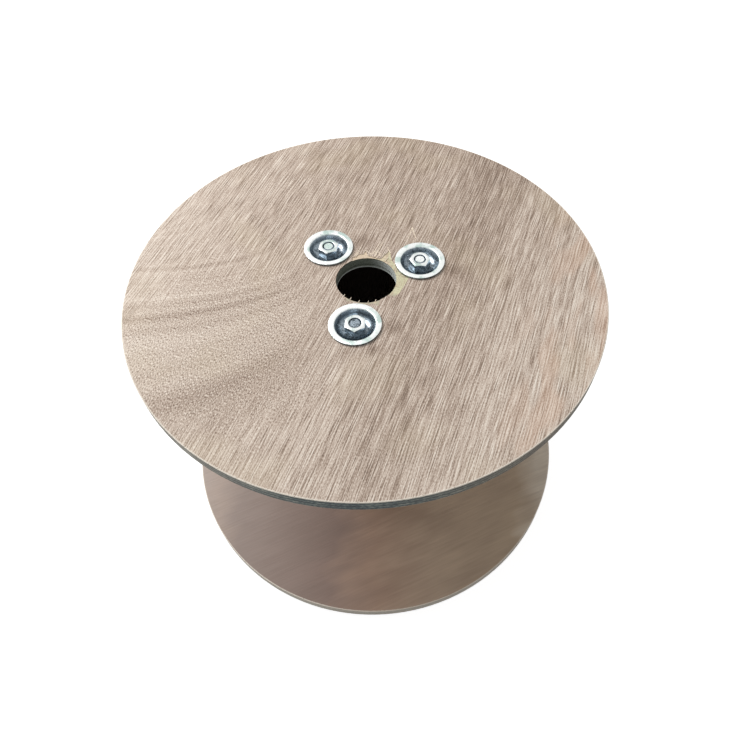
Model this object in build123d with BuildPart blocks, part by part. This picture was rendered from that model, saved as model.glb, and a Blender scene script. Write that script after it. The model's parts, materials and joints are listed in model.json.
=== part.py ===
"""Empty plywood cable drum: two round flanges, a barrel between them and three long tie bolts.

The drum stands on end. The origin is on its axis, level with the rims of the lower cup washers,
which are what the drum stands on. +Z runs up the axis, and sizes are in millimetres.
"""

from build123d import *
import math
import os

# Flanges: plywood discs with a round hole for the arbor that the drum turns on.
flange_diameter = 400
flange_thickness = 11
arbor_hole_diameter = 51
flange_edge_break = 0.4

# Barrel: a tube of bent plywood that stands in a ring groove in each flange.
traverse = 250
barrel_diameter = 160
barrel_wall = 5
groove_depth = 4
groove_clearance = 0.25

# Tie bolts: M10, with a hexagon head below and a nut above. Their holes were set out by hand,
# so the spacing round the arbor hole isn't quite even, and each was tightened to its own turn.
tie_circle_radius = 50
tie_angles = (24, 132, 261)
hexagon_turns = (0, 20, 28)
bolt_diameter = 10
bolt_hole_diameter = 11
bolt_head_height = 6.4
bolt_end_chamfer = 1.2
bolt_end_below_nut = 0.3
nut_height = 8.4
nut_mouth_chamfer = 0.4
thread_clearance = 0.05
across_flats = 16
hexagon_sides = 6
chamfer_circle_share = 0.94
corner_chamfer_angle = 30

# Cup washers: pressed sheet steel, with a flat rim on the flange and a cup sunk into the wood.
washer_diameter = 42.5
washer_thickness = 2
cup_mouth_diameter = 34
cup_floor_diameter = 21.5
cup_depth = 7
cup_clearance = 0.3

# Levels up the axis, each from the sizes above.
lower_outer_face = washer_thickness
lower_inner_face = lower_outer_face + flange_thickness
upper_inner_face = lower_inner_face + traverse
upper_outer_face = upper_inner_face + flange_thickness
upper_rim_level = upper_outer_face + washer_thickness
lower_rim_level = 0
lower_cup_floor = lower_rim_level + cup_depth
upper_cup_floor = upper_rim_level - cup_depth
bolt_end_level = upper_cup_floor + nut_height - bolt_end_below_nut

barrel_bore_radius = barrel_diameter / 2 - barrel_wall

# How far out the back of the sheet turns down into the cup, which is what the wood has to clear.
cup_lean = math.atan((cup_mouth_diameter - cup_floor_diameter) / 2 / cup_depth)
cup_shoulder_radius = cup_mouth_diameter / 2 + washer_thickness * math.tan((math.pi / 2 - cup_lean) / 2)

up = 1
down = -1


def cross_plane(level, outward, angle=0, radius=0, turn=0):
    """A level plane that faces up or down, centred on a tie bolt if radius is given."""
    centre = Vector(radius, 0, level).rotate(Axis.Z, angle)
    return Plane(centre, x_dir=Vector(1, 0, 0).rotate(Axis.Z, turn), z_dir=(0, 0, outward))


def profile_plane(across):
    """The upright plane that a turned piece is drawn on, with its Y along the piece's axis."""
    return Plane(across.origin, x_dir=across.x_dir, z_dir=-across.y_dir)


def make_flange(name, outer_face, outward):
    """A plywood disc with its outer face at the level outer_face, facing up or down."""
    outer_plane = cross_plane(outer_face, outward)
    with BuildPart() as flange:
        with BuildSketch(outer_plane):
            Circle(flange_diameter / 2)
            Circle(arbor_hole_diameter / 2, mode=Mode.SUBTRACT)
        extrude(amount=-flange_thickness)
        outer_edges = flange.edges().filter_by(GeomType.CIRCLE).sort_by(SortBy.RADIUS)[-2:]
        chamfer(outer_edges, flange_edge_break)

        # The groove that the end of the barrel stands in.
        with BuildSketch(outer_plane.offset(-flange_thickness)):
            Circle(barrel_diameter / 2 + groove_clearance)
            Circle(barrel_bore_radius - groove_clearance, mode=Mode.SUBTRACT)
        extrude(amount=groove_depth, mode=Mode.SUBTRACT)

        # The tie bolts' holes, stepped so that the cups of the washers sink into the wood.
        for angle in tie_angles:
            with Locations(cross_plane(outer_face, outward, angle, tie_circle_radius)):
                CounterBoreHole(
                    radius=bolt_hole_diameter / 2,
                    counter_bore_radius=cup_shoulder_radius + cup_clearance,
                    counter_bore_depth=cup_depth,
                )
    flange.part.label = name
    return flange.part


def make_barrel(name):
    """The bent plywood tube, with its ends on the floors of both grooves."""
    with BuildPart() as barrel:
        with BuildSketch(Plane.XY.offset(lower_inner_face - groove_depth)):
            Circle(barrel_diameter / 2)
            Circle(barrel_bore_radius, mode=Mode.SUBTRACT)
        extrude(amount=traverse + 2 * groove_depth)
    barrel.part.label = name
    return barrel.part


def make_cup_washer(name, rim_plane):
    """A pressed washer: the face of its rim is on rim_plane, and its cup goes in behind it."""
    with BuildPart() as washer:
        with BuildSketch(profile_plane(rim_plane)):
            with BuildLine():
                Polyline(
                    (bolt_hole_diameter / 2, -cup_depth),
                    (cup_floor_diameter / 2, -cup_depth),
                    (cup_mouth_diameter / 2, 0),
                    (washer_diameter / 2, 0),
                )
                offset(amount=washer_thickness, kind=Kind.INTERSECTION, side=Side.RIGHT)
            make_face()
        revolve(axis=Axis(rim_plane.origin, rim_plane.z_dir))
    washer.part.label = name
    return washer.part


def make_hexagon(seat, height):
    """A hexagon blank standing flat on the plane seat, with the corners of its far end turned off."""
    corner_radius = across_flats / 2 / math.cos(math.pi / hexagon_sides)
    chamfer_radius = chamfer_circle_share * across_flats / 2
    drop = (corner_radius - chamfer_radius) * math.tan(math.radians(corner_chamfer_angle))
    with BuildPart() as blank:
        with BuildSketch(seat):
            RegularPolygon(across_flats / 2, hexagon_sides, major_radius=False)
        extrude(amount=height)
        with BuildSketch(profile_plane(seat)):
            with BuildLine():
                Polyline(
                    (0, 0),
                    (corner_radius, 0),
                    (corner_radius, height - drop),
                    (chamfer_radius, height),
                    (0, height),
                    close=True,
                )
            make_face()
        revolve(axis=Axis(seat.origin, seat.z_dir), mode=Mode.INTERSECT)
    return blank.part


def make_nut(name, seat):
    """A hexagon nut on the plane seat, with a countersunk mouth at each end of its thread."""
    blank = make_hexagon(seat, nut_height)
    with BuildPart() as nut:
        add(blank)
        with BuildSketch(seat):
            Circle(bolt_diameter / 2 + thread_clearance)
        extrude(amount=nut_height, mode=Mode.SUBTRACT)
        mouths = nut.edges().filter_by(GeomType.CIRCLE).sort_by(SortBy.RADIUS)[:2]
        chamfer(mouths, nut_mouth_chamfer)
    nut.part.label = name
    return nut.part


def make_tie_bolt(name, seat):
    """A long bolt: its head stands on the plane seat, and its shank runs the other way."""
    head = make_hexagon(seat, bolt_head_height)
    with BuildPart() as bolt:
        add(head)
        with BuildSketch(seat):
            Circle(bolt_diameter / 2)
        extrude(amount=-(bolt_end_level - lower_cup_floor))
        far_end = bolt.edges().filter_by(GeomType.CIRCLE).sort_by(Axis.Z)[-1]
        chamfer(far_end, bolt_end_chamfer)
    bolt.part.label = name
    return bolt.part


pieces = [
    make_flange("upper_flange", upper_outer_face, up),
    make_flange("lower_flange", lower_outer_face, down),
    make_barrel("barrel"),
]
for number, (angle, turn) in enumerate(zip(tie_angles, hexagon_turns), start=1):
    place = {"angle": angle, "radius": tie_circle_radius}
    pieces += [
        make_cup_washer(f"upper_cup_washer_{number}", cross_plane(upper_rim_level, up, **place)),
        make_cup_washer(f"lower_cup_washer_{number}", cross_plane(lower_rim_level, down, **place)),
        make_nut(f"nut_{number}", cross_plane(upper_cup_floor, up, turn=turn, **place)),
        make_tie_bolt(f"tie_bolt_{number}", cross_plane(lower_cup_floor, down, turn=turn, **place)),
    ]

os.makedirs("parts", exist_ok=True)
for piece in pieces:
    export_step(piece, f"parts/{piece.label}.step")
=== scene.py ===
# %% [markdown]
# The object is an empty cable drum made of plywood. Two round flanges are held apart by a barrel of
# bent plywood, and three long bolts squeeze the lot together. The bolts end in pressed cup washers,
# which sink into the wood so that nothing catches on the cable. The drum stands on end.
# The solids of every piece come from the frame. This script gives them their finish, remodels the
# pieces whose small shapes show, and sets up the camera, the floor and the light.

# %% Load the frame
import json
import math
import random
from contextlib import contextmanager

import bpy
from mathutils import Matrix, Vector


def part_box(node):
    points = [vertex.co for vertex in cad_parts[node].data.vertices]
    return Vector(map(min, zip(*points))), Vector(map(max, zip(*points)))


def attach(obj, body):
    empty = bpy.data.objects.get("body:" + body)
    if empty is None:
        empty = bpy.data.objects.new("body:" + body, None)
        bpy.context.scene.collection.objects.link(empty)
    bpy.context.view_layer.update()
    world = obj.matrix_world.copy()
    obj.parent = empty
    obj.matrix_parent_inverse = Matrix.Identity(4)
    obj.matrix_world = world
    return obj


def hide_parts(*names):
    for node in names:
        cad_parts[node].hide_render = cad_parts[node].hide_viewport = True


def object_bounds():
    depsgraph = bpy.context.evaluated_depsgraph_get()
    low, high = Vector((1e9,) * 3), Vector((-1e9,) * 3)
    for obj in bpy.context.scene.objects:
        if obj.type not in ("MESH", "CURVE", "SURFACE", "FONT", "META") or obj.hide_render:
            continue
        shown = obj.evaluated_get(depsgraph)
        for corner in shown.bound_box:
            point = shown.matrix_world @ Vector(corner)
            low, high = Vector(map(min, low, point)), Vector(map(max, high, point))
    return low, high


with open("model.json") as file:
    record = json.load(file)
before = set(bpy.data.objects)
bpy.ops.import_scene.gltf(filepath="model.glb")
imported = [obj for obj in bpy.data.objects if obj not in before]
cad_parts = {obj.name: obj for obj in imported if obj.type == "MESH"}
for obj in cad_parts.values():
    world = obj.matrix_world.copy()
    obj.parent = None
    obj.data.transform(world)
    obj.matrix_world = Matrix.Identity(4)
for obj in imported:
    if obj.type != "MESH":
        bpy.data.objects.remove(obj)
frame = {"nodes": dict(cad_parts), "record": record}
cad_low, cad_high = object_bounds()
print("frame", [round(side, 4) for side in cad_high - cad_low], "m")

# %% [markdown]
# Every place below is worked out from the boxes of the frame's own pieces, so a flange that gets
# thicker or a bolt that moves takes its dressing with it.

# %% Measure the frame
MM = 0.001


def middle_of(node):
    low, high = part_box(node)
    return (low + high) / 2


def radius_of(node):
    low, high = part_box(node)
    return (high.y - low.y) / 2


upper_low, upper_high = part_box("upper_flange")
lower_low, lower_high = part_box("lower_flange")
flange_radius = radius_of("upper_flange")
flange_thickness = upper_high.z - upper_low.z
rim_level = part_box("upper_cup_washer_1")[1].z
tie_numbers = (1, 2, 3)
tie_places = [middle_of(f"upper_cup_washer_{number}").xy for number in tie_numbers]
arbor_bore = next(mount for mount in frame["record"]["mounts"] if mount["name"] == "arbor_bore")
bore_radius = arbor_bore["dims"]["r_mm"] * MM
print("flange radius", round(flange_radius, 4), "thickness", round(flange_thickness, 4))
print("tie bolts at", [tuple(round(c, 4) for c in place) for place in tie_places])

# %% [markdown]
# The photograph was taken from the front and above, close to the drum, so the lower flange looks
# much smaller than the upper one. A camera's place can be guessed by eye, but this one was fitted
# to the outlines of both flanges. The picture is a crop of a larger one, so its centre of view lies
# a little off the middle, which the lens shift stands for.

# %% Place the camera
CAMERA_ELEVATION = math.radians(53.84)
CAMERA_ROLL = math.radians(-0.56)
CAMERA_FROM_FACE = Vector((0.02469, -0.37323, 0.39698))
CAMERA_LENS = 31.753
CAMERA_SHIFT = (-0.0429, -0.0081)

backward = Vector((0, -math.cos(CAMERA_ELEVATION), math.sin(CAMERA_ELEVATION)))
level_right = Vector((1, 0, 0))
level_up = backward.cross(level_right)
camera_right = math.cos(CAMERA_ROLL) * level_right + math.sin(CAMERA_ROLL) * level_up
camera_up = backward.cross(camera_right)
turn = Matrix((camera_right, camera_up, backward)).transposed().to_4x4()

bpy.ops.object.camera_add()
camera = bpy.context.object
camera.name = "camera"
camera.matrix_world = Matrix.Translation(CAMERA_FROM_FACE + Vector((0, 0, upper_high.z))) @ turn
camera.data.lens = CAMERA_LENS
camera.data.shift_x, camera.data.shift_y = CAMERA_SHIFT
bpy.context.scene.camera = camera
print("camera at", [round(c, 3) for c in camera.location])

# %% [markdown]
# Most new pieces are modelled the way a hand would do it: a primitive is added, pushed and cut in
# edit mode, and finished with modifiers. Operators work on whatever is selected, so each helper
# first selects the one piece that it works on, and nothing else.

# %% Helpers for selecting
def select_only(piece):
    bpy.ops.object.select_all(action="DESELECT")
    piece.select_set(True)
    bpy.context.view_layer.objects.active = piece


@contextmanager
def edit_mode(piece, kind="EDGE"):
    """Opens one piece in edit mode, choosing by its vertices, edges or faces."""
    select_only(piece)
    bpy.ops.object.mode_set(mode="EDIT")
    bpy.ops.mesh.select_mode(type=kind)
    yield
    bpy.ops.object.mode_set(mode="OBJECT")


def select_edges(piece, wanted):
    """Selects the edges whose two ends both fit the rule wanted. Used outside edit mode."""
    for element in (*piece.data.polygons, *piece.data.vertices, *piece.data.edges):
        element.select = False
    for edge in piece.data.edges:
        edge.select = all(wanted(piece.data.vertices[end].co) for end in edge.vertices)


# %% [markdown]
# A modifier could stay live on its piece. Here it is applied at once, because the solids that cut a
# piece are thrown away right after the cut.

# %% Helpers for shaping
SMOOTH_BELOW = math.radians(30)


def modify(piece, kind, **settings):
    """Adds a modifier, sets it up and applies it."""
    select_only(piece)
    bpy.ops.object.modifier_add(type=kind)
    modifier = piece.modifiers[-1]
    for name, value in settings.items():
        setattr(modifier, name, value)
    bpy.ops.object.modifier_apply(modifier=modifier.name)


def round_sharp_edges(piece, width, steps, degrees):
    """Rounds every edge where the surface turns by more than so many degrees."""
    limit = math.radians(degrees)
    modify(piece, "BEVEL", width=width, segments=steps, limit_method="ANGLE", angle_limit=limit)


def cut(piece, cutter, operation="DIFFERENCE"):
    """Cuts one solid with another, which is then thrown away."""
    modify(piece, "BOOLEAN", operation=operation, object=cutter, solver="EXACT")
    bpy.data.objects.remove(cutter)


def join(pieces, name):
    """Joins loose solids into one piece whose place is in its mesh."""
    select_only(pieces[0])
    for piece in pieces[1:]:
        piece.select_set(True)
    bpy.ops.object.join()
    bpy.ops.object.transform_apply(location=True, rotation=True, scale=True)
    pieces[0].name = name
    return pieces[0]


def stand_in_for(piece, slot, *nodes):
    """Rides a new piece on the drum, and lets it stand for nodes of the frame."""
    select_only(piece)
    bpy.ops.object.shade_smooth_by_angle(angle=SMOOTH_BELOW)
    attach(piece, "root")
    if nodes:
        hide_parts(*nodes)


# %% [markdown]
# A cup washer is pressed from sheet steel, so it is one thickness all over and its bends are round.
# Turning a finished section would work too, but following the press is simpler: a thin sheet is
# grown ring by ring, its bends are rounded, and then the whole sheet gets its thickness at once.

# %% Press one cup washer
WASHER_SIDES = 128
BOLT_HOLE_RADIUS = 5.5 * MM
CUP_MOUTH_RADIUS = 16.9 * MM
CUP_WALL_SLOPE = math.radians(60)
CUP_FLOOR_BEND = 6.2 * MM
CUP_FLOOR_BEND_STEPS = 14
CUP_MOUTH_BEND = 1.2 * MM
CUP_MOUTH_BEND_STEPS = 6
SHEET_EDGE_ROUND = 0.4 * MM
SHEET_EDGE_STEPS = 3
SHEET_EDGE_SHARPER_THAN = 50

cup_depth = rim_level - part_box("nut_1")[0].z
sheet_thickness = rim_level - upper_high.z
washer_radius = radius_of("upper_cup_washer_1")
cup_corner_radius = CUP_MOUTH_RADIUS - cup_depth / math.tan(CUP_WALL_SLOPE)


def round_ring(piece, radius, level, bend, steps):
    """Rounds the bend that runs round the piece at this radius and level."""
    tolerance = 0.01 * MM
    select_edges(piece, lambda co: abs(co.xy.length - radius) + abs(co.z - level) < tolerance)
    with edit_mode(piece):
        tangent = bend * math.tan(CUP_WALL_SLOPE / 2)
        bpy.ops.mesh.bevel(offset=tangent, segments=steps, affect="EDGES", clamp_overlap=False)


def model_cup_washer():
    """One washer, face up, with the face of its rim at level 0."""
    bpy.ops.object.select_all(action="DESELECT")
    bpy.ops.mesh.primitive_circle_add(
        vertices=WASHER_SIDES, radius=BOLT_HOLE_RADIUS, location=(0, 0, -cup_depth)
    )
    washer = bpy.context.object
    bpy.ops.object.transform_apply(location=True)
    rings = [(cup_corner_radius, -cup_depth), (CUP_MOUTH_RADIUS, 0), (washer_radius, 0)]
    with edit_mode(washer):
        bpy.ops.mesh.select_all(action="SELECT")
        radius, level = BOLT_HOLE_RADIUS, -cup_depth
        for next_radius, next_level in rings:
            rise = {"value": (0, 0, next_level - level)}
            bpy.ops.mesh.extrude_region_move(TRANSFORM_OT_translate=rise)
            growth = next_radius / radius
            bpy.ops.transform.resize(value=(growth, growth, 1))
            radius, level = next_radius, next_level
        bpy.ops.mesh.select_all(action="SELECT")
        bpy.ops.mesh.normals_make_consistent(inside=False)
    if washer.data.polygons[0].normal.z < 0:
        washer.data.flip_normals()
    round_ring(washer, cup_corner_radius, -cup_depth, CUP_FLOOR_BEND, CUP_FLOOR_BEND_STEPS)
    round_ring(washer, CUP_MOUTH_RADIUS, 0, CUP_MOUTH_BEND, CUP_MOUTH_BEND_STEPS)
    modify(washer, "SOLIDIFY", thickness=sheet_thickness, offset=-1, use_even_offset=True)
    round_sharp_edges(washer, SHEET_EDGE_ROUND, SHEET_EDGE_STEPS, SHEET_EDGE_SHARPER_THAN)
    return washer


cup_washer = model_cup_washer()
print("one washer of", len(cup_washer.data.polygons), "faces")

# %% [markdown]
# All six washers come from one press, so one is modelled and the others are copies of it. A linked
# copy would be lighter, but each copy needs a mesh of its own, because a finished piece has its
# place in its mesh. The lower washers face the floor, so their copies are turned over first.

# %% Place the six washers
def place_copy(master, name, place, flipped=False, turn=0.0):
    """A copy with its own mesh, moved to its place. A flipped one faces down."""
    piece = bpy.data.objects.new(name, master.data.copy())
    bpy.context.collection.objects.link(piece)
    half_turn = Matrix.Rotation(math.pi if flipped else 0.0, 4, "X")
    piece.data.transform(Matrix.Translation(place) @ half_turn @ Matrix.Rotation(turn, 4, "Z"))
    return piece


washers = []
for number, place in zip(tie_numbers, tie_places):
    for end, level in (("upper", rim_level), ("lower", cad_low.z)):
        spot = (*place, level)
        washer = place_copy(cup_washer, f"{end}_washer_{number}", spot, end == "lower", turn=number)
        stand_in_for(washer, "zinc_washer", f"{end}_cup_washer_{number}")
        washers.append(washer)
bpy.data.objects.remove(cup_washer)
print("washers placed:", len(washers))

# %% [markdown]
# A nut is a slice of hexagon bar whose corners are turned off at 30 degrees, so the top of each
# corner is a curved nick. The same is done here: a six-sided cylinder is cut down to where it
# overlaps a wide cone, then bored, and its mouth is widened a little for the bolt to enter.

# %% Model one nut
NUT_ACROSS_FLATS = 16 * MM
NUT_CORNER_RADIUS = NUT_ACROSS_FLATS / 2 / math.cos(math.pi / 6)
NUT_CHAMFER_RADIUS = 7.52 * MM
NUT_CHAMFER_SLOPE = math.radians(30)
NUT_BORE_RADIUS = 5.05 * MM
NUT_MOUTH_WIDENING = 0.4 * MM
NUT_EDGE_ROUND = 0.18 * MM
NUT_EDGE_STEPS = 2
NUT_EDGE_SHARPER_THAN = 25
TURNED_SIDES = 96
CUT_OVERRUN = 1 * MM

nut_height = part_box("nut_1")[1].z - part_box("nut_1")[0].z


def turned(radius_below, radius_above, low, high, sides=TURNED_SIDES):
    """A turned cone or cylinder between two levels."""
    bpy.ops.object.select_all(action="DESELECT")
    bpy.ops.mesh.primitive_cone_add(
        vertices=sides,
        radius1=radius_below,
        radius2=radius_above,
        depth=high - low,
        location=(0, 0, (low + high) / 2),
    )
    return bpy.context.object


def model_nut():
    """One nut on level 0, with two of its corners on the X axis."""
    nut = turned(NUT_CORNER_RADIUS, NUT_CORNER_RADIUS, 0, nut_height, sides=6)
    bpy.ops.object.transform_apply(location=True)
    nut.data.transform(Matrix.Rotation(math.pi / 6, 4, "Z"))
    spread = nut_height / math.tan(NUT_CHAMFER_SLOPE)
    cut(nut, turned(NUT_CHAMFER_RADIUS + spread, NUT_CHAMFER_RADIUS, 0, nut_height), "INTERSECT")
    cut(nut, turned(NUT_BORE_RADIUS, NUT_BORE_RADIUS, -CUT_OVERRUN, nut_height + CUT_OVERRUN))
    mouth = NUT_BORE_RADIUS + NUT_MOUTH_WIDENING
    cut(nut, turned(NUT_BORE_RADIUS, mouth, nut_height - NUT_MOUTH_WIDENING, nut_height))
    round_sharp_edges(nut, NUT_EDGE_ROUND, NUT_EDGE_STEPS, NUT_EDGE_SHARPER_THAN)
    return nut


nut_blank = model_nut()
print("one nut of", len(nut_blank.data.polygons), "faces")

# %% [markdown]
# Each nut was tightened until it held, so each stopped at a turn of its own. They stand on the
# floors of the cups, and are copied and placed as the washers are.

# %% Place the three nuts
NUT_TURNS = (0, 20, 28)

nuts = []
for number, place, degrees in zip(tie_numbers, tie_places, NUT_TURNS):
    seat = (*place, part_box("nut_1")[0].z)
    nut = place_copy(nut_blank, f"hexagon_nut_{number}", seat, turn=math.radians(degrees))
    stand_in_for(nut, "zinc_bolt", f"nut_{number}")
    nuts.append(nut)
bpy.data.objects.remove(nut_blank)
print("nuts placed:", len(nuts))

# %% [markdown]
# The flanges were sawn and drilled roughly. A drill tears the face veneer round the hole, where its
# fibres run out unsupported, and leaves shallow ragged patches that show the paler ply below. The
# corners of each patch are listed. Joining them with plain lines would look cut with a knife, but
# veneer breaks along its grain, so an edge that crosses the grain is made ragged and one that
# follows it stays straight.

# %% Outlines of the chips
GRAIN_ANGLE = math.radians(70)
GRAIN = Vector((math.cos(GRAIN_ANGLE), math.sin(GRAIN_ANGLE)))
RAGGED_STEP = 0.9 * MM
RAGGED_REACH = 1.1 * MM

# Each corner of a chip: its angle round the bore in degrees, and its reach past the edge in mm.
UPPER_CHIP = (
    (119, 0.4), (115, 3.6), (108, 4.2), (101, 5.2), (95, 5.0), (92, 9.2), (88, 3.0), (79, 2.0), (72, 1.2),
    (64, 1.8), (61, 9.0), (60, 14.6), (54, 9.5), (50, 7.0), (42, 4.6), (34, 4.0), (24, 4.6), (13, 7.5),
    (3, 10.4), (-6, 8.4), (-16, 6.8), (-29, 6.4), (-38, 5.2), (-43, 0.6),
)
LOWER_CHIP = (
    (-62, 0.4), (-66, 2.6), (-70, 5.6), (-74, 3.0), (-84, 1.6), (-92, 2.6), (-99, 1.2), (-106, 1.0),
    (-115, 1.2), (-122, 2.9), (-127, 1.6), (-133, 0.3),
)

draw = random.Random(7)


def round_the_bore(degrees, reach):
    angle = math.radians(degrees)
    return Vector((math.cos(angle), math.sin(angle))) * (bore_radius + reach * MM)


def ragged(corners):
    """The line through the corners in short steps, each broken off along the grain."""
    points = []
    for start, end in zip(corners, corners[1:]):
        side = end - start
        steps = max(1, round(side.length / RAGGED_STEP))
        crossing = abs(side.normalized().cross(GRAIN))
        for step in range(steps):
            shift = draw.uniform(-0.5, 0.5) * RAGGED_REACH * crossing
            points.append(start.lerp(end, step / steps) + GRAIN * shift)
    return points + [corners[-1]]


print("corners of the chips:", len(UPPER_CHIP), "and", len(LOWER_CHIP))

# %% [markdown]
# A chip could be a dark patch in the finish, but it has a floor and a broken edge that catches the
# light. So it is stamped out of the board: a flat circle is pulled into the outline, grown into a
# solid and later cut away. The cutter goes a little less deep than the veneer is thick.

# %% Cutter of a chip
CHIP_DEPTH = 0.48 * MM
INSIDE_REACH = -2.5
INSIDE_STEPS = 12


def stamp(outline, low, high):
    """A solid with this outline from one level to another."""
    bpy.ops.object.select_all(action="DESELECT")
    bpy.ops.mesh.primitive_circle_add(vertices=len(outline), fill_type="NGON")
    solid = bpy.context.object
    for vertex, point in zip(solid.data.vertices, outline):
        vertex.co = (*point, low)
    with edit_mode(solid, "FACE"):
        bpy.ops.mesh.select_all(action="SELECT")
        bpy.ops.mesh.extrude_region_move(TRANSFORM_OT_translate={"value": (0, 0, high - low)})
        bpy.ops.mesh.select_all(action="SELECT")
        bpy.ops.mesh.normals_make_consistent(inside=False)
    return solid


def chip_cutter(corners, face):
    """The cutter of one chip: ragged outside, and well inside the bore on its other side."""
    outside = ragged([round_the_bore(*corner) for corner in corners])
    first, last = corners[0][0], corners[-1][0]
    shares = [step / INSIDE_STEPS for step in range(INSIDE_STEPS + 1)]
    inside = [round_the_bore(last + (first - last) * share, INSIDE_REACH) for share in shares]
    return stamp(outside + inside, face - CHIP_DEPTH, face + CUT_OVERRUN)


# %% [markdown]
# The saw and rough handling split the edges of a board in many small places. Moving the edge's
# vertices about would bend it, while wood breaks in clean little facets, so each nick is cut with
# a small upright prism of five sides. All the prisms of a board are joined and cut at once.

# %% Cutter of the nicks
NICKS_PER_EDGE = 110
NICK_SIDES = 5
NICK_SHIFT = 0.45
NICK_RADII = (0.35, 0.9)
NICK_HEIGHTS = (0.6, 1.5)


def nick_cutter(levels):
    """Small splits all round the edges of a flange, where it was sawn and knocked about."""
    splits = []
    for level in levels:
        for nick in range(NICKS_PER_EDGE):
            angle = (nick + draw.uniform(-NICK_SHIFT, NICK_SHIFT)) * 2 * math.pi / NICKS_PER_EDGE
            radius = draw.uniform(*NICK_RADII) * MM
            bpy.ops.mesh.primitive_cylinder_add(
                vertices=NICK_SIDES,
                radius=radius,
                depth=draw.uniform(*NICK_HEIGHTS) * MM,
                location=(math.cos(angle) * flange_radius, math.sin(angle) * flange_radius, level),
                rotation=(0, 0, draw.uniform(0, math.pi)),
            )
            splits.append(bpy.context.object)
    return join(splits, "nicks")


# %% [markdown]
# The frame's own meshes stay as they are, so each board is a copy. The frame's meshes are loose
# triangles with normals of their own, which a cut would leave behind as creases, so the copy drops
# those normals and has its triangles joined up before it is cut.

# %% Cut the two boards
MERGE_DISTANCE = 0.001 * MM


def own_copy(node, name):
    """A piece of its own with a frame node's shape, its loose triangles joined up."""
    piece = bpy.data.objects.new(name, frame["nodes"][node].data.copy())
    bpy.context.collection.objects.link(piece)
    select_only(piece)
    bpy.ops.mesh.customdata_custom_splitnormals_clear()
    with edit_mode(piece):
        bpy.ops.mesh.select_all(action="SELECT")
        bpy.ops.mesh.remove_doubles(threshold=MERGE_DISTANCE)
    return piece


flanges = {}
for name, node, low, high in (
    ("upper_board", "upper_flange", upper_low.z, upper_high.z),
    ("lower_board", "lower_flange", lower_low.z, lower_high.z),
):
    board = own_copy(node, name)
    if node == "upper_flange":
        cut(board, chip_cutter(UPPER_CHIP, high))
        cut(board, chip_cutter(LOWER_CHIP, high))
    cut(board, nick_cutter((low, high)))
    stand_in_for(board, "plywood", node)
    flanges[name] = board
    print(name, len(board.data.polygons), "faces")

# %% [markdown]
# Not every torn fibre breaks off. Some stand up beside the chips as pale splinters, and a few hang
# over the near edge of the bore. Hair curves could make them, but they are few and stiff, so each
# is a thin cone that is divided, roughened, flattened and curled up a little towards its tip.

# %% Splinters round the bore
# Each splinter: its foot and its tip, in mm from the axis, and its width at the foot in mm.
SPLINTERS = (
    ((6.9, 26.6), (15.0, 45.7), 1.3),
    ((5.0, 29.8), (12.4, 45.0), 0.9),
    ((4.0, 29.6), (-1.6, 34.8), 1.1),
    ((20.6, 31.0), (17.6, 38.4), 1.2),
    ((-10.0, 28.6), (-4.6, 38.6), 1.0),
    ((-14.5, 26.8), (-11.0, 32.5), 0.9),
    ((11.8, 27.4), (10.2, 33.0), 0.9),
    ((40.2, 63.0), (36.4, 48.0), 0.9),
    ((40.2, 63.0), (43.4, 47.0), 1.0),
    ((-18.2, -18.6), (-17.1, -16.4), 0.8),
    ((-12.8, -22.3), (-11.8, -19.8), 0.8),
    ((-5.6, -25.2), (-4.9, -23.0), 0.7),
    ((2.0, -25.8), (2.5, -23.8), 0.7),
    ((7.8, -24.6), (8.6, -22.4), 0.8),
)
SPLINTER_SIDES = 6
SPLINTER_CUTS = 5
SPLINTER_TIP_SHARE = 0.22
SPLINTER_ROUGHNESS = 0.05
SPLINTER_FLATNESS = 0.6
SPLINTER_CURL = 0.12 * MM
SPLINTER_LIFT = 0.05 * MM
ROUGH_SEEDS = 1000

# The frays lie between these angles in degrees, radii in mm and leans from the grain in radians,
# and between these lengths and widths in mm.
FRAYS = 16
FRAY_ANGLES = (15, 128)
FRAY_RADII = (26, 30)
FRAY_LEANS = (-0.5, 0.5)
FRAY_LENGTHS = (3, 8)
FRAY_WIDTHS = (0.5, 0.9)


def frays():
    """Short fibres along the torn edge of the bore, each a little off the grain."""
    for fray in range(FRAYS):
        angle = math.radians(draw.uniform(*FRAY_ANGLES))
        foot = Vector((math.cos(angle), math.sin(angle))) * draw.uniform(*FRAY_RADII)
        lean = GRAIN_ANGLE + draw.uniform(*FRAY_LEANS)
        reach = Vector((math.cos(lean), math.sin(lean))) * draw.uniform(*FRAY_LENGTHS)
        yield tuple(foot), tuple(foot + reach), draw.uniform(*FRAY_WIDTHS)


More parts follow.
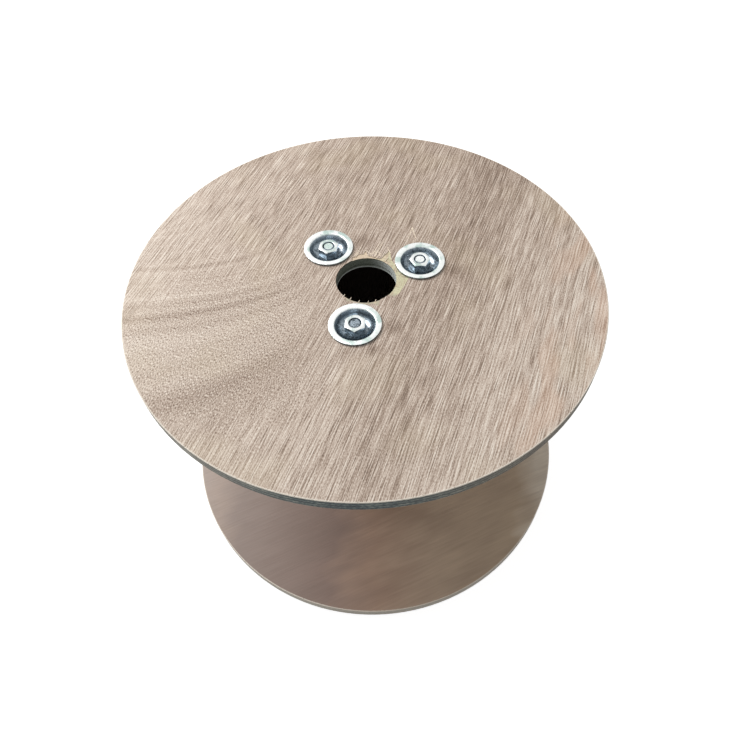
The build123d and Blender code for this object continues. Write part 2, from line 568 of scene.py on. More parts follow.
def splinter(foot, tip, width):
    """One splinter that lies on the face and curls up a little towards its tip."""
    line = Vector(tip) - Vector(foot)
    length = line.length * MM
    bpy.ops.object.select_all(action="DESELECT")
    bpy.ops.mesh.primitive_cone_add(
        vertices=SPLINTER_SIDES,
        radius1=width / 2 * MM,
        radius2=width * SPLINTER_TIP_SHARE * MM,
        depth=length,
        rotation=(0, math.pi / 2, 0),
    )
    piece = bpy.context.object
    bpy.ops.object.transform_apply(rotation=True)
    with edit_mode(piece):
        bpy.ops.mesh.select_all(action="SELECT")
        bpy.ops.mesh.subdivide(number_cuts=SPLINTER_CUTS)
        roughness = SPLINTER_ROUGHNESS * width * MM
        bpy.ops.transform.vertex_random(offset=roughness, seed=draw.randrange(ROUGH_SEEDS))
    for vertex in piece.data.vertices:
        share = vertex.co.x / length + 0.5
        vertex.co.z = vertex.co.z * SPLINTER_FLATNESS + share**3 * SPLINTER_CURL
    middle = Vector(foot).lerp(Vector(tip), 0.5) * MM
    lift = Matrix.Translation((*middle, upper_high.z + SPLINTER_LIFT))
    piece.data.transform(lift @ Matrix.Rotation(math.atan2(line.y, line.x), 4, "Z"))
    return piece


splinters = join([splinter(*place) for place in (*SPLINTERS, *frays())], "bore_splinters")
stand_in_for(splinters, "plywood")
print("splinters", len(SPLINTERS) + FRAYS)

# %% [markdown]
# Shader nodes are usually dragged about and wired by hand, which soon gets hard to follow. Their
# maths reads best as ordinary sums, so a Signal stands for one output of a node, and adding or
# multiplying Signals adds the Math nodes for it.

# %% Signals, which Python can reckon with
class Signal:
    """An output of a shader node that Python's operators work on."""

    def __init__(self, recipe, socket):
        self.recipe = recipe
        self.socket = socket

    def math(self, operation, *others):
        return self.recipe.node("ShaderNodeMath", {"operation": operation}, [self, *others])

    def __add__(self, other):
        return self.math("ADD", other)

    def __sub__(self, other):
        return self.math("SUBTRACT", other)

    def __rsub__(self, other):
        return self * -1 + other

    def __mul__(self, other):
        return self.math("MULTIPLY", other)

    def __truediv__(self, other):
        return self.math("DIVIDE", other)

    def __pow__(self, other):
        return self.math("POWER", other)

    def __abs__(self):
        return self.math("ABSOLUTE")

    __radd__ = __add__
    __rmul__ = __mul__


# %% [markdown]
# A Recipe is a tree of nodes. Its node method adds any node from its type, its settings and what
# goes into it, and the other methods are short names for what the finishes below use most: a mix
# of two colours, a smooth step, a stain, a ramp of colours and a cloudy noise. Where a finish below
# has a pair of numbers, a change starts at the first and is complete at the second. A stain is a
# colour with such a pair, and with how much of it shows in the end.

# %% Recipes, which add the nodes
class Recipe:
    """A node tree, with one method that adds any node to it."""

    def __init__(self, tree):
        self.tree = tree

    def node(self, kind, settings=None, inputs=(), output=0):
        """Adds a node. inputs is a list in the node's own order, or a dict by name or number."""
        made = self.tree.nodes.new(kind)
        for name, value in (settings or {}).items():
            if name == "stops":
                self.set_stops(made.color_ramp, value)
            else:
                setattr(made, name, value)
        pairs = inputs.items() if isinstance(inputs, dict) else enumerate(inputs)
        for key, value in pairs:
            self.feed(made.inputs[key], value)
        return Signal(self, made.outputs[output])

    def outputs_of(self, signal):
        """All the outputs of the node that a signal comes from."""
        return [Signal(self, socket) for socket in signal.socket.node.outputs]

    def feed(self, socket, value):
        if isinstance(value, Signal):
            self.tree.links.new(value.socket, socket)
        else:
            socket.default_value = value

    def set_stops(self, ramp, stops):
        while len(ramp.elements) < len(stops):
            ramp.elements.new(1)
        for element, (place, colour) in zip(ramp.elements, stops):
            element.position = place
            element.color = colour

    def mix(self, amount, first, second):
        return self.node(
            "ShaderNodeMix",
            {"data_type": "RGBA", "clamp_factor": True},
            {0: amount, 6: first, 7: second},
            output=2,
        )

    def step(self, signal, start, end):
        """Rises smoothly from 0 to 1 while the signal goes from start to end."""
        settings = {"interpolation_type": "SMOOTHSTEP"}
        return self.node("ShaderNodeMapRange", settings, [signal, start, end])

    def stain(self, ground, signal, colour, start, end, share=1.0):
        """Lays a colour over the ground, more and more while the signal goes from start to end."""
        return self.mix(self.step(signal, start, end) * share, ground, colour)

    def ramp(self, signal, stops):
        """A colour that follows the signal from stop to stop."""
        return self.node("ShaderNodeValToRGB", {"stops": stops}, [signal])

    def curve(self, signal, points):
        """A number that follows the signal from point to point."""
        return self.ramp(signal, [(place, (value, value, value, 1)) for place, value in points])

    def noise(self, sides, sizes, seed=0.0, detail=2.0):
        """Cloudy noise, about 0 to 1, whose lumps are sizes long along each of the sides."""
        scaled = [side / size for side, size in zip(sides, sizes)]
        scaled += [seed] * (3 - len(scaled))
        point = self.node("ShaderNodeCombineXYZ", None, scaled)
        inputs = {"Vector": point, "Scale": 1.0, "Detail": detail}
        return self.node("ShaderNodeTexNoise", None, inputs)

    def swing(self, sides, sizes, seed=0.0, detail=2.0):
        """The same noise, but swinging about 0."""
        return self.noise(sides, sizes, seed, detail) - 0.5

    def seen_directly(self):
        """1 on camera, mirror and glass rays, 0 on the rays that light other things."""
        path = self.outputs_of(self.node("ShaderNodeLightPath"))
        rays = {ray.socket.name: ray for ray in path}
        mirrored = rays["Is Glossy Ray"].math("MAXIMUM", rays["Is Transmission Ray"])
        return rays["Is Camera Ray"].math("MAXIMUM", mirrored)


# %% [markdown]
# A Finish is the recipe of one material. It reads the point on the piece in millimetres, so that
# its sizes mean the same as on the real drum, and it feeds the sockets of the one Principled
# shader. Colours are written as a screen shows them, because that is how they are picked.

# %% Finishes, which are materials
class Finish(Recipe):
    """The recipe of one material."""

    def __init__(self, name, **constants):
        self.material = bpy.data.materials.new(name)
        self.material.use_nodes = True
        super().__init__(self.material.node_tree)
        self.shader = self.tree.nodes["Principled BSDF"]
        for socket, value in constants.items():
            self.shader.inputs[socket.replace("_", " ")].default_value = value

    def drive(self, socket, signal):
        """Links a signal that changes over the surface to one of the shader's own sockets."""
        self.feed(self.shader.inputs[socket], signal)

    def place(self):
        """The point on the piece in millimetres, as three Signals."""
        point = self.node("ShaderNodeTexCoord", output="Object")
        sides = self.outputs_of(self.node("ShaderNodeSeparateXYZ", None, [point]))
        return [side / MM for side in sides]

    def uprightness(self):
        """1 on a level face, 0 on an upright one."""
        normal = self.node("ShaderNodeNewGeometry", output="Normal")
        return abs(self.outputs_of(self.node("ShaderNodeSeparateXYZ", None, [normal]))[2])

    def bump(self, height, distance):
        """Tilts the surface by a height of 0 to 1 that stands for distance in metres."""
        inputs = {"Strength": 1.0, "Distance": distance, "Height": height}
        self.drive("Normal", self.node("ShaderNodeBump", None, inputs))


def paint(piece, finish):
    """Gives a piece, or a node of the frame by its name, its finish."""
    mesh = frame["nodes"][piece].data if isinstance(piece, str) else piece.data
    mesh.materials.clear()
    mesh.materials.append(finish.material)


def rgb(red, green, blue):
    """A colour as a screen shows it, 0 to 255, turned into the light that Blender works in."""

    def light(share):
        return share / 12.92 if share <= 0.04045 else ((share + 0.055) / 1.055) ** 2.4

    return (*(light(part / 255) for part in (red, green, blue)), 1.0)


def distance_from(middle, x, y):
    """How far a point is from a middle, both in millimetres."""
    return ((x - middle[0]) ** 2 + (y - middle[1]) ** 2) ** 0.5


def distance_from_axis(x, y):
    return (x * x + y * y) ** 0.5


# %% [markdown]
# The face veneer is an open-pored tropical wood. A picture of wood could be laid on it, but a
# pattern that is worked out from the place on the board needs no picture and never repeats.
# Everything in wood is long along the grain and short across it, so those two distances come
# first. The grain wanders a little. The growth bands follow it over most of the face, and fan out
# towards one corner.

# %% Grain of the face veneer
GRAIN_DRIFT = 14
GRAIN_DRIFT_SIZE = (320, 170)
GRAIN_WOBBLE_SIZE = (60, 20)
FAN_LENGTH = 70
FAN_SOFTNESS = 50.0


def grain_of(finish, x, y, angle, seed):
    """Distances along and across a grain that wanders, in millimetres."""
    along = x * math.cos(angle) + y * math.sin(angle)
    across = y * math.cos(angle) - x * math.sin(angle)
    drift = finish.swing([along, across], GRAIN_DRIFT_SIZE, seed, detail=1.0)
    wobble = finish.swing([along, across], GRAIN_WOBBLE_SIZE, seed + 5, detail=1.0)
    return along, across + drift * GRAIN_DRIFT + wobble


def growth_of(along, across):
    """Which growth band a point is in. The bands run along the grain, but fan out at one corner."""
    fan = (along.math("SMOOTH_MIN", 0.0, FAN_SOFTNESS) / FAN_LENGTH).math("EXPONENT")
    return across.math("MAXIMUM", 0.0) * fan + across.math("MINIMUM", 0.0)


print("growth bands fan out over", FAN_LENGTH, "mm")

# %% [markdown]
# Two things change the figure in places. Where the bands fan out, the fibres dive into the face, so
# there it is speckled instead of lined. Beside the washers, grease has spread into the wood. Both
# are masks: 1 inside a round patch and 0 outside, with cloudy noise to break the round edge.

# %% Speckled and smudged patches
SPECKLED_MIDDLE = (-118, -66)
SPECKLED_REACH = 108
SPECKLED_CORE_SHARE = 0.4
SPECKLED_EDGE_SIZE = (45, 45)
SPECKLED_EDGE_RAGGEDNESS = 60

# Each smudge: its middle and its reach in mm.
SMUDGES = (((23, -52), 11), ((73, 10), 12), ((-4, 47), 13), ((6, -74), 9))
SMUDGE_CLOUD_SIZE = (5, 5)
SMUDGE_LEAST = 0.4


def speckled_share(finish, x, y, seed):
    """1 where the fibres dive into the face, 0 where they lie along it."""
    clouds = finish.swing([x, y], SPECKLED_EDGE_SIZE, seed)
    far = distance_from(SPECKLED_MIDDLE, x, y) + clouds * SPECKLED_EDGE_RAGGEDNESS
    return finish.step(far, SPECKLED_REACH, SPECKLED_REACH * SPECKLED_CORE_SHARE)


def smudged_share(finish, x, y, seed):
    """How much grease has spread into the wood beside the washers."""
    total = 0.0
    for middle, reach in SMUDGES:
        total = finish.step(distance_from(middle, x, y), reach, 0) + total
    return total * (finish.noise([x, y], SMUDGE_CLOUD_SIZE, seed) + SMUDGE_LEAST)


print("smudges:", len(SMUDGES))

# %% [markdown]
# The look of the veneer has three scales: growth bands a few centimetres wide, streaks inside them,
# and thousands of fine fibres and cut pores. Stretched noise alone looks like fur, so the fibres
# are a wave across the grain that wavers, and noise gives the rest. Their sum picks a colour from
# one ramp of browns, and its broad shading follows the board from one edge to the other.

# %% Colour of the face veneer
RIM_RADIUS = flange_radius / MM
FIBRE_SPACING = 2.2
FIBRE_WAVER = 14

# The lumps of each noise, across and along the grain in mm.
FIBRE_WAVER_SIZE = (3.2, 55)
FIBRE_PATCH_SIZE = (5, 26)
PORE_SIZE = (0.7, 22)
STREAK_SIZE = (4.0, 190)
BAND_SIZE = (7, 300)
SPECKLE_SIZE = (0.65, 1.7)
BLUSH_SIZE = (16, 60)

# How much each part of the texture counts where it is lined, and where it is broken to speckles.
LINED_FIBRES = 0.26
LINED_PORES = 1.15
LINED_SPECKLES = 0.9
LINED_STREAKS = 0.18
BROKEN_FIBRES = 0.08
BROKEN_SPECKLES = 2.1
BAND_SHADING = 0.33
BROKEN_BAND_SHADING = 0.2

FACE_BROWNS = (
    (0.0, rgb(104, 85, 71)),
    (0.3, rgb(155, 135, 119)),
    (0.5, rgb(191, 173, 158)),
    (0.7, rgb(217, 202, 187)),
    (1.0, rgb(242, 232, 219)),
)

# How bright the face is from one edge to the other across its grain, and its change per mm along.
TONE_ACROSS = (
    (0.0, 0.6),
    (0.2, 0.52),
    (0.33, 0.36),
    (0.45, 0.46),
    (0.62, 0.46),
    (0.8, 0.5),
    (1.0, 0.59),
)
TONE_ALONG = -0.0004
SMUDGE_DARKNESS = 0.2
YELLOW_STAIN = (rgb(196, 180, 142), 0.5, 0.7, 0.12)
YELLOW_SIZE = (70, 70)
RED_TINT = rgb(214, 176, 150)
RED_EDGE = (-120, -175)
RED_CLOUDS = (0.45, 0.6)
RED_SHARE = 0.3


def share_of_width(distance):
    """0 at one edge of the board and 1 at the other."""
    return (distance + RIM_RADIUS) / (2 * RIM_RADIUS)


def face_colour(finish, x, y, seed):
    """The figured outer face: its colour and the height of its surface."""
    along, across = grain_of(finish, x, y, GRAIN_ANGLE, seed)
    growth = growth_of(along, across)
    phase = finish.noise([across, along], FIBRE_WAVER_SIZE, seed + 1, detail=1.0) * FIBRE_WAVER
    strength = finish.noise([across, along], FIBRE_PATCH_SIZE, seed + 2, detail=1.0)
    fibres = (across * (2 * math.pi / FIBRE_SPACING) + phase).math("SINE") * strength
    pores = finish.swing([across, along], PORE_SIZE, seed + 6, detail=1.0)
    streaks = finish.swing([across, along], STREAK_SIZE, seed + 3, detail=1.0)
    bands = finish.swing([growth, along], BAND_SIZE, seed + 4, detail=1.0)
    speckles = finish.swing([across, along], SPECKLE_SIZE, seed + 8, detail=1.0)

    speckled = speckled_share(finish, x, y, seed + 7)
    lined = fibres * LINED_FIBRES + pores * LINED_PORES
    lined = lined + speckles * LINED_SPECKLES + streaks * LINED_STREAKS
    broken = speckles * BROKEN_SPECKLES + fibres * BROKEN_FIBRES
    texture = lined + (broken - lined) * speckled
    shading = bands * (speckled * BROKEN_BAND_SHADING + BAND_SHADING) + along * TONE_ALONG
    shading = shading + finish.curve(share_of_width(across), TONE_ACROSS)
    shading = shading - smudged_share(finish, x, y, seed + 12) * SMUDGE_DARKNESS
    colour = finish.ramp(texture + shading, FACE_BROWNS)

    clouds = finish.noise([x, y], YELLOW_SIZE, seed + 10, detail=1.0)
    colour = finish.stain(colour, clouds, *YELLOW_STAIN)
    blush = finish.noise([across, along], BLUSH_SIZE, seed + 11, detail=1.0)
    red = finish.step(across, *RED_EDGE) * finish.step(blush, *RED_CLOUDS)
    colour = finish.mix(red * RED_SHARE, colour, RED_TINT)
    return colour, texture + 0.5


print("face veneer of", len(FACE_BROWNS), "browns")

# %% [markdown]
# The inner faces have a smoother veneer with hardly any figure. Their tone changes slowly from one
# side of the board to the other, so a ramp over its width sets the colour. The ramp holds painted
# shade and painted light: darker in the middle, where the upper flange shades the lower one, and
# lighter towards both edges, where light reaches in from the sides. Soft clouds shift the ramp
# about, since straight zones would look printed, and fine fibres darken it a little.

# %% Colour of the inner faces
INNER_GRAIN_ANGLE = math.radians(24)
INNER_FIBRE_SIZE = (2.2, 45)
INNER_CLOUD_SIZE = (26, 70)
INNER_CLOUD_SHIFT = 60
INNER_FIBRES = 0.6
INNER_STAIN = (rgb(112, 92, 80), 0.35, -0.35, 0.35)

# The inner face from its left edge to its right one, with painted shade in the middle and painted
# light towards both edges.
INNER_BROWNS_AND_SHADE = (
    (0.0, rgb(190, 177, 168)),
    (0.09, rgb(180, 163, 152)),
    (0.15, rgb(155, 140, 132)),
    (0.39, rgb(149, 128, 118)),
    (0.5, rgb(180, 151, 131)),
    (0.65, rgb(200, 177, 154)),
    (0.88, rgb(196, 175, 150)),
    (0.96, rgb(226, 214, 196)),
)


def inner_colour(finish, x, y, seed):
    """The plain inner face: its colour with painted shade and light, and the height of its surface."""
    along, across = grain_of(finish, x, y, INNER_GRAIN_ANGLE, seed)
    fibres = finish.swing([across, along], INNER_FIBRE_SIZE, seed + 1)
    clouds = finish.swing([across, along], INNER_CLOUD_SIZE, seed + 2)
    colour = finish.ramp(share_of_width(x + clouds * INNER_CLOUD_SHIFT), INNER_BROWNS_AND_SHADE)
    colour = finish.stain(colour, fibres * INNER_FIBRES + clouds, *INNER_STAIN)
    return colour, fibres + 0.5


print("inner faces of", len(INNER_BROWNS_AND_SHADE), "browns")

# %% [markdown]
# Plywood shows its layers wherever it is cut. Below a chip lies the next ply, clean and pale, with
# its own grain. On the rim the plies lie crosswise in turn, so every second one is end grain and
# darker. Separate boards could be stacked up for that, but a height that is counted in plies gives
# the same lines. The saw scorched most of the rim, and the rest of it stayed clean. The rim is also
# painted in its clean colour on the left, a painted light where the lamp falls on it, and all round
# on the lower flange, a painted light in the shade there.

# %% Colours of the plies
BARE_TAN = rgb(222, 202, 176)
CREAM_STAIN = (rgb(212, 208, 174), 8, 24)
GREY_STAIN = (rgb(176, 172, 152), -16, -24, 0.85)
BARE_PATCH_SIZE = (7, 7)
BARE_PATCH_SHIFT = 30
LINE_STAIN = (rgb(166, 150, 124), 0.46, 0.7, 0.6)
LINE_SIZE = (1.5, 14)
LINE_LEAN = 2.7
TORN_STAIN = (rgb(186, 166, 142), 0.5, 0.66, 0.7)
TORN_SIZE = (2.2, 9)
TORN_LEAN = -0.36

CORE_PLIES = 6
PLY_BORDER = (0.35, 0.65)
PLY_CONTRAST = 0.3
PLY_TONE = 0.33
GRIT_SIZE = (2.4, 2.4, 0.9)
GRIT_CONTRAST = 2.0
CLEAN_GRIT_CONTRAST = 1.5
SCORCH_SIZE = (26, 26, 9)
SCORCH_CONTRAST = 1.1
CLEAN_EDGE = rgb(224, 218, 206)
CLEAN_CROSSWISE = rgb(166, 155, 140)
PLY_GREYS = (
    (0.0, rgb(40, 48, 52)),
    (0.4, rgb(84, 97, 98)),
    (0.7, rgb(134, 141, 132)),
    (1.0, rgb(192, 192, 178)),
)


def bare_colour(finish, x, y, seed):
    """The ply below the veneer, with shreds of torn veneer still glued to it."""
    patches = finish.swing([x, y], BARE_PATCH_SIZE, seed, detail=1.0) * BARE_PATCH_SHIFT
    colour = finish.stain(BARE_TAN, x + patches, *CREAM_STAIN)
    colour = finish.stain(colour, y + patches, *GREY_STAIN)
    torn = finish.noise([x + y * TORN_LEAN, y], TORN_SIZE, seed + 2)
    colour = finish.stain(colour, torn, *TORN_STAIN)
    lines = finish.noise([x + y * LINE_LEAN, y], LINE_SIZE, seed + 1, detail=1.0)
    return finish.stain(colour, lines, *LINE_STAIN)


def ply_colours(finish, x, y, height, depth_share, seed):
    """The rim of the board: its scorched colour, its clean colour and the height of its surface."""
    ply = depth_share * CORE_PLIES
    parity = abs((ply * 0.5 - (ply * 0.5).math("FLOOR")) * 2 - 1)
    lengthwise = finish.step(parity, *PLY_BORDER)
    grit = finish.swing([x, y, height], GRIT_SIZE, seed, detail=3.0)
    scorches = finish.swing([x, y, height], SCORCH_SIZE, seed + 1, detail=1.0)
    tone = lengthwise * PLY_CONTRAST + grit * GRIT_CONTRAST + scorches * SCORCH_CONTRAST + PLY_TONE
    clean = finish.mix(lengthwise + grit * CLEAN_GRIT_CONTRAST, CLEAN_CROSSWISE, CLEAN_EDGE)
    return finish.ramp(tone, PLY_GREYS), clean, tone


print("rim of", CORE_PLIES, "plies")

# %% [markdown]
# The wall of the arbor hole was burnt by the drill. It is greenish grey on one side and paler on
# the other, with a row of scorched dots just below the face and one dark line of glue between two
# plies. The dots are far too many to place one by one, so noise that is cut off sharply gives them
# and the grime.

# %% Colour of the arbor hole's wall
BORE_RADIUS = bore_radius / MM
BORE_GREEN = rgb(120, 126, 114)
BORE_PALE = rgb(232, 238, 233)
BORE_GRIME = rgb(40, 42, 36)
PALE_SIDE_STAIN = (BORE_PALE, 0, 20, 0.85)
GRIME_STAIN = (BORE_GRIME, 0.45, 0.68, 0.55)
GRIME_SIZE = (1.1, 1.1, 0.8)
DOT_SIZE = (0.9, 0.9, 0.5)
DOT_EDGE = (0.4, 0.55)

# Heights from the middle of the board towards its outer face, in mm.
SCORCHED_HEIGHTS = (4.0, 5.0)
GLUE_LINE_HEIGHT = -2.2
GLUE_LINE_EDGE = (0.5, 0.2)
GLUE_LINE_SHARE = 0.6
PALE_PLY_STAIN = (BORE_PALE, -3.9, -4.4, 0.6)


def bore_colour(finish, x, y, height, seed):
    """The drilled wall, with height counted from the middle of the board towards its outer face."""
    grime = finish.noise([x, y, height], GRIME_SIZE, seed)
    dots = finish.noise([x, y, height], DOT_SIZE, seed + 1, detail=1.0)
    colour = finish.stain(BORE_GREEN, x, *PALE_SIDE_STAIN)
    colour = finish.stain(colour, grime, *GRIME_STAIN)
    scorched = finish.step(height, *SCORCHED_HEIGHTS) * finish.step(dots, *DOT_EDGE)
    from_glue_line = abs(height - GLUE_LINE_HEIGHT)
    glue_line = finish.step(from_glue_line, *GLUE_LINE_EDGE) * GLUE_LINE_SHARE
    colour = finish.mix(scorched.math("MAXIMUM", glue_line), colour, BORE_GRIME)
    return finish.stain(colour, height, *PALE_PLY_STAIN)


print("arbor hole of radius", BORE_RADIUS, "mm")

# %% [markdown]
# One finish covers a whole flange. It could be many materials, one on each group of faces, but
# then every chip would need its own. Instead the place of a point chooses: how far it lies below
# the nearest face says which layer it belongs to, and how far from the axis says whether it is on
# the rim or in the hole. That way the floor of every chip turns pale by itself.

# %% Finish of the flanges
# Depths below the nearest face, and the middle of the board, in mm.
BARE_DEPTHS = (0.25, 0.4)
CORE_DEPTHS = (0.35, 0.65)
OUTER_HALF = (-0.1, 0.1)

# From how upright to how level a surface turns from a side of the board into a face.
LEVEL_FROM = (0.3, 0.6)

# How far past the radius of the rim the wear lies, and past that of the hole its wall, in mm.
WORN_STAIN = (rgb(240, 231, 217), -0.7, -0.1, 0.85)
WORN_SIZE = (1.5, 1.5)
IN_BORE = (0.5, 0.2)

# Where the sides of the board are brown or clean, in mm from the middle to the right. The paler
# left side is painted light.
BROWN_STAIN = (rgb(116, 101, 86), 0, 130, 0.6)
LIT_LEFT = (-30, -150)
LIT_LEFT_SHARE = 0.6
CLEAN_RIGHT = (90, 190)
CLEAN_RIGHT_SHARE = 0.2
WOOD_BUMP = 0.22 * MM
VENEER_EDGE = rgb(214, 203, 188)


def flange_finish(name, low, high, outward, seed, rim_light=0.0):
    """The finish of one flange, whose figured face points the way that outward says."""
    finish = Finish(name, Roughness=0.72)
    x, y, z = finish.place()
    low_mm, high_mm = low / MM, high / MM
    from_middle = (z - (low_mm + high_mm) / 2) * outward
    depth = (high_mm - low_mm) / 2 - abs(from_middle)
    from_axis = distance_from_axis(x, y)

    outer, outer_height = face_colour(finish, x, y, seed)
    inner, inner_height = inner_colour(finish, x, y, seed + 20)
    is_outer = finish.step(from_middle, *OUTER_HALF)
    face = finish.mix(is_outer, inner, outer)
    bare = bare_colour(finish, x, y, seed + 30)
    level_colour = finish.mix(finish.step(depth, *BARE_DEPTHS), face, bare)
    past_rim = from_axis + finish.noise([x, y], WORN_SIZE, seed + 60) - RIM_RADIUS
    level_colour = finish.stain(level_colour, past_rim, *WORN_STAIN)

    depth_share = (z - low_mm) / (high_mm - low_mm)
    edge, clean, edge_height = ply_colours(finish, x, y, z, depth_share, seed + 40)
    edge = finish.stain(edge, x, *BROWN_STAIN)
    # The rim turns paler on its left, and all round on the lower flange: painted light.
    clean_and_lit = finish.step(x, *LIT_LEFT) * LIT_LEFT_SHARE
    clean_and_lit = clean_and_lit + finish.step(x, *CLEAN_RIGHT) * CLEAN_RIGHT_SHARE + rim_light
    is_core = finish.step(depth, *CORE_DEPTHS)
    side_colour = finish.mix(is_core, VENEER_EDGE, finish.mix(clean_and_lit, edge, clean))
    in_bore = finish.step(from_axis - BORE_RADIUS, *IN_BORE)
    bore = bore_colour(finish, x, y, from_middle, seed + 50)
    side_colour = finish.mix(in_bore, side_colour, bore)

    level = finish.step(finish.uprightness(), *LEVEL_FROM)
    finish.drive("Base Color", finish.mix(level, side_colour, level_colour))
    face_height = inner_height + (outer_height - inner_height) * is_outer
    finish.bump(edge_height * (1 - level) + face_height * level, WOOD_BUMP)
    return finish


upper_plywood = flange_finish("upper_plywood", upper_low.z, upper_high.z, outward=1, seed=3.0)
lower_plywood = flange_finish(
    "lower_plywood", lower_low.z, lower_high.z, outward=-1, seed=57.0, rim_light=1.0
)
paint(flanges["upper_board"], upper_plywood)
paint(flanges["lower_board"], lower_plywood)
print("flange finish of", len(upper_plywood.tree.nodes), "nodes")

# %% [markdown]
# The splinters are the clean inside of the veneer, so they are paler than its face. They could
# share the flange's finish, but its layers are chosen by depth and the splinters lie above them.

# %% Finish of the splinters
SPLINTER_LINE_SIZE = (0.5, 2.5, 0.5)
SPLINTER_PALE = rgb(248, 236, 216)
SPLINTER_TAN = rgb(222, 202, 180)
SPLINTER_BUMP = 0.05 * MM


def splinter_finish():
    finish = Finish("splinter_wood", Roughness=0.8)
    lines = finish.noise(finish.place(), SPLINTER_LINE_SIZE, 2.0)
    finish.drive("Base Color", finish.mix(lines, SPLINTER_PALE, SPLINTER_TAN))
    finish.bump(lines, SPLINTER_BUMP)
    return finish


paint(splinters, splinter_finish())
print("splinters are", splinters.data.materials[0].name)

# %% [markdown]
# The barrel is thin plywood bent round, with its grain along the drum's axis, because a sheet
# bends easily that way. Its shape is plain, so the frame's own node is kept and only painted. The
# pattern is laid round it by the angle, as if the sheet were still flat, and the seam where its two
# ends meet is a dark line. Its inside never sees the light, so it is painted dark, a painted shade.

# %% Finish of the barrel
BARREL_BROWNS = (
    (0.0, rgb(118, 97, 82)),
    (0.4, rgb(164, 143, 127)),
    (0.6, rgb(187, 168, 152)),
    (1.0, rgb(222, 206, 190)),
)
INSIDE_SHADE = (rgb(70, 56, 46), 0.5, -0.5)
SEAM_DARK = rgb(60, 46, 38)
BARREL_RADIUS = radius_of("barrel") / MM
BARREL_WALL = 5
SEAM_ANGLE = math.radians(128)
SEAM_EDGE = (0.6, 0.24)
SEAM_SHARE = 0.8
SEAM_SINK = 2

# The lumps of each noise, round the barrel and up it in mm.
BARREL_DRIFT_SIZE = (60, 220)
BARREL_DRIFT = 20
BARREL_FIBRE_SIZE = (1.7, 50)
BARREL_PORE_SIZE = (1.1, 12)
BARREL_BAND_SIZE = (24, 400)
BARREL_FIBRES = 1.1
BARREL_PORES = 0.7
BARREL_BANDS = 0.7
BARREL_BUMP = 0.15 * MM


def barrel_finish():
    finish = Finish("barrel_plywood", Roughness=0.7)
    x, y, z = finish.place()
    around = y.math("ARCTAN2", x) * BARREL_RADIUS
    drift = finish.swing([around, z], BARREL_DRIFT_SIZE, 5.0, detail=1.0) * BARREL_DRIFT
    sides = [around + drift, z]
    fibres = finish.swing(sides, BARREL_FIBRE_SIZE, 9.0)
    pores = finish.swing(sides, BARREL_PORE_SIZE, 10.0, detail=1.0)
    bands = finish.swing(sides, BARREL_BAND_SIZE, 11.0)
    texture = fibres * BARREL_FIBRES + pores * BARREL_PORES
    colour = finish.ramp(texture + bands * BARREL_BANDS + 0.5, BARREL_BROWNS)
    seam = finish.step(abs(around - SEAM_ANGLE * BARREL_RADIUS), *SEAM_EDGE)
    colour = finish.mix(seam * SEAM_SHARE, colour, SEAM_DARK)
    # The inside of the barrel is painted dark: painted shade.
    from_wall = distance_from_axis(x, y) - (BARREL_RADIUS - BARREL_WALL / 2)
    finish.drive("Base Color", finish.stain(colour, from_wall, *INSIDE_SHADE))
    finish.bump(texture + 0.5 - seam * SEAM_SINK, BARREL_BUMP)
    return finish


paint("barrel", barrel_finish())
print("barrel of radius", round(BARREL_RADIUS, 1), "mm")

# %% [markdown]
# The washers, nuts and bolts are zinc plated. Zinc is bright where hands and tools rub it and is
# painted dull and grey-blue down in the cups. That is partly oil and dust, and partly painted shade
# in the hollows and a painted reflection of darker surroundings, since the sky that the zinc mirrors
# is white all round. Painting each cup by hand would do, but depth below the rim says the same, so
# the finish dulls with it. The two ends of the drum are alike, so depth is counted from the nearer
# one. Faces that lean, such as the edge of the sheet and the flats of a nut, are painted duller too,
# as painted reflection.

# %% Finish of the zinc
ZINC_BRIGHT = rgb(240, 243, 241)
ZINC_DULL_SHADED = rgb(146, 157, 165)
ZINC_GRIME = rgb(48, 56, 60)
ZINC_CLOUD_SIZE = (9, 9, 9)
ZINC_BLOTCH_SIZE = (2.6, 2.6, 2.6)
ZINC_SPECK_SIZE = (0.9, 0.9, 0.9)
CLOUD_STAIN = (rgb(176, 198, 190), 0.62, 0.84, 0.8)
CLOUD_BLOTCHES = 0.3
DIRTY = (0.46, 0.66)
DIRTY_SHARE = 0.6
SPECKED = (0.62, 0.76)
SPECKED_SHARE = 0.7
ROUGHNESS_SPREAD = 0.25
ZINC_BUMP_SPECKS = 0.4
ZINC_BUMP = 0.06 * MM

# A range that nothing on the drum reaches, for a piece that doesn't dull that way.
NOWHERE = (200.0, 300.0)


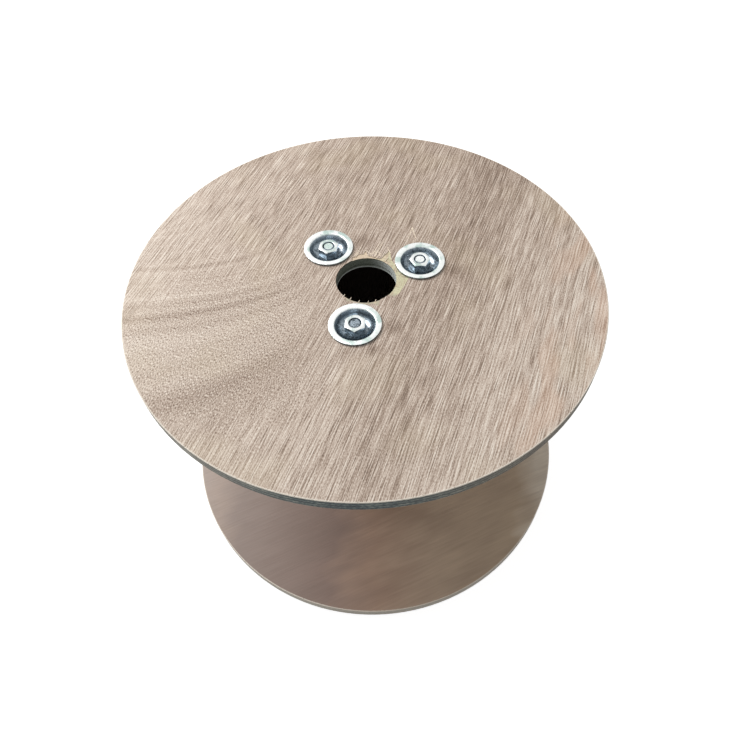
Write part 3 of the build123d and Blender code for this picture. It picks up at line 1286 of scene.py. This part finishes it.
def zinc_finish(name, shade_depths, roughness, leaning=NOWHERE, grime=0.0):
    """Zinc that dulls between two depths below the rim in mm, and between two leans of a face: painted
    shade and reflection, partly dirt.
    """
    finish = Finish(name, Metallic=1.0)
    point = finish.place()
    half_height = rim_level / MM / 2
    depth = half_height - abs(point[2] - half_height)
    cloud = finish.noise(point, ZINC_CLOUD_SIZE)
    blotch = finish.noise(point, ZINC_BLOTCH_SIZE, 8.0)
    speck = finish.noise(point, ZINC_SPECK_SIZE, 4.0)
    # Dull down in the cups and on leaning faces: painted shade and painted reflection, partly dirt.
    sunk_shade = finish.step(depth, *shade_depths)
    sunk_shade = sunk_shade.math("MAXIMUM", finish.step(1 - finish.uprightness(), *leaning))
    bright = finish.stain(ZINC_BRIGHT, cloud + blotch * CLOUD_BLOTCHES, *CLOUD_STAIN)
    colour = finish.mix(sunk_shade, bright, ZINC_DULL_SHADED)
    dirt = finish.step(blotch, *DIRTY) * sunk_shade * DIRTY_SHARE
    specks = finish.step(speck + grime, *SPECKED) * SPECKED_SHARE
    finish.drive("Base Color", finish.mix(dirt + specks, colour, ZINC_GRIME))
    finish.drive("Roughness", blotch * ROUGHNESS_SPREAD + roughness)
    finish.bump(speck * ZINC_BUMP_SPECKS + blotch + cloud, ZINC_BUMP)
    return finish


print("zinc dulls to", [round(part, 2) for part in ZINC_DULL_SHADED[:3]])

# %% [markdown]
# The washers are bright on their rims only, and the nuts a little further down; below that the zinc
# is painted dull as painted shade and reflection. The ends of the bolts are bright too, except on one
# bolt, whose end stayed oily and dark.

# %% Plate the washers, nuts and bolts
DULL_BOLT = 3

washer_zinc = zinc_finish("washer_zinc", (0.3, 1.5), 0.18, leaning=(0.55, 0.85))
nut_zinc = zinc_finish("nut_zinc", (-3.0, 7.0), 0.16, leaning=(0.2, 0.35))
bolt_zinc = zinc_finish("bolt_zinc", NOWHERE, 0.22, leaning=(0.05, 0.2), grime=0.06)
dull_bolt_zinc = zinc_finish("dull_bolt_zinc", (-2.0, -1.5), 0.35, grime=0.16)
for washer in washers:
    paint(washer, washer_zinc)
for nut in nuts:
    paint(nut, nut_zinc)
for number in tie_numbers:
    paint(f"tie_bolt_{number}", dull_bolt_zinc if number == DULL_BOLT else bolt_zinc)
print("plated pieces:", len(washers) + len(nuts) + len(tie_numbers))

# %% [markdown]
# The drum stands on a pale floor that melts into a white background. A stronger lamp would turn the
# floor white, but it would bleach the wood as well. So the floor glows only in what the camera and
# mirrors see of it, and the light that it throws on the drum stays that of a grey floor.

# %% Floor
FLOOR_SIDE = 12.0
FLOOR_DROP = 0.05 * MM
FLOOR_GREY = (0.5, 0.5, 0.5, 1)
FLOOR_GLOW = (0.84, 0.84, 0.84, 1)
BLACK = (0, 0, 0, 1)

bpy.ops.object.select_all(action="DESELECT")
bpy.ops.mesh.primitive_plane_add(size=FLOOR_SIDE, location=(0, 0, cad_low.z - FLOOR_DROP))
floor = bpy.context.object
floor.name = "floor"
floor_finish = Finish(
    "pale_floor",
    Base_Color=FLOOR_GREY,
    Roughness=0.9,
    Specular_IOR_Level=0.0,
    Emission_Strength=1.0,
)
glow = floor_finish.mix(floor_finish.seen_directly(), BLACK, FLOOR_GLOW)
floor_finish.drive("Emission Color", glow)
paint(floor, floor_finish)
print("floor of", FLOOR_SIDE, "m")

# %% [markdown]
# The sky lights the drum evenly from all around, as a bright room does. It too looks white to the
# camera and in the zinc, and lights the wood with less.

# %% Sky
WHITE = (1, 1, 1, 1)
SKY_LIGHT = 0.42

sky = bpy.data.worlds.new("sky")
bpy.context.scene.world = sky
sky.use_nodes = True
sky_recipe = Recipe(sky.node_tree)
background = sky.node_tree.nodes["Background"]
background.inputs["Color"].default_value = WHITE
strength = sky_recipe.seen_directly() * (1 - SKY_LIGHT) + SKY_LIGHT
sky_recipe.feed(background.inputs["Strength"], strength)
print("sky light", SKY_LIGHT)

# %% [markdown]
# The shadows under the washers' rims say where the main light comes from: from behind on the left.
# A point lamp would make them hard, so it is a lamp as large as a window, at some distance.

# %% Lamp
LAMP_DIRECTION = Vector((-0.62, 0.40, 0.78)).normalized()
LAMP_DISTANCE = 1.7
LAMP_SIDE = 0.9
LAMP_WATTS = 26

lamp_place = LAMP_DIRECTION * LAMP_DISTANCE + middle_of("upper_flange")
bpy.ops.object.light_add(type="AREA", location=lamp_place)
lamp = bpy.context.object
lamp.name = "window_lamp"
lamp.data.size = LAMP_SIDE
lamp.data.energy = LAMP_WATTS
lamp.rotation_mode = "QUATERNION"
lamp.rotation_quaternion = LAMP_DIRECTION.to_track_quat("Z", "Y")

bpy.context.scene.view_settings.view_transform = "Standard"
print("lamp at", [round(c, 2) for c in lamp.location])
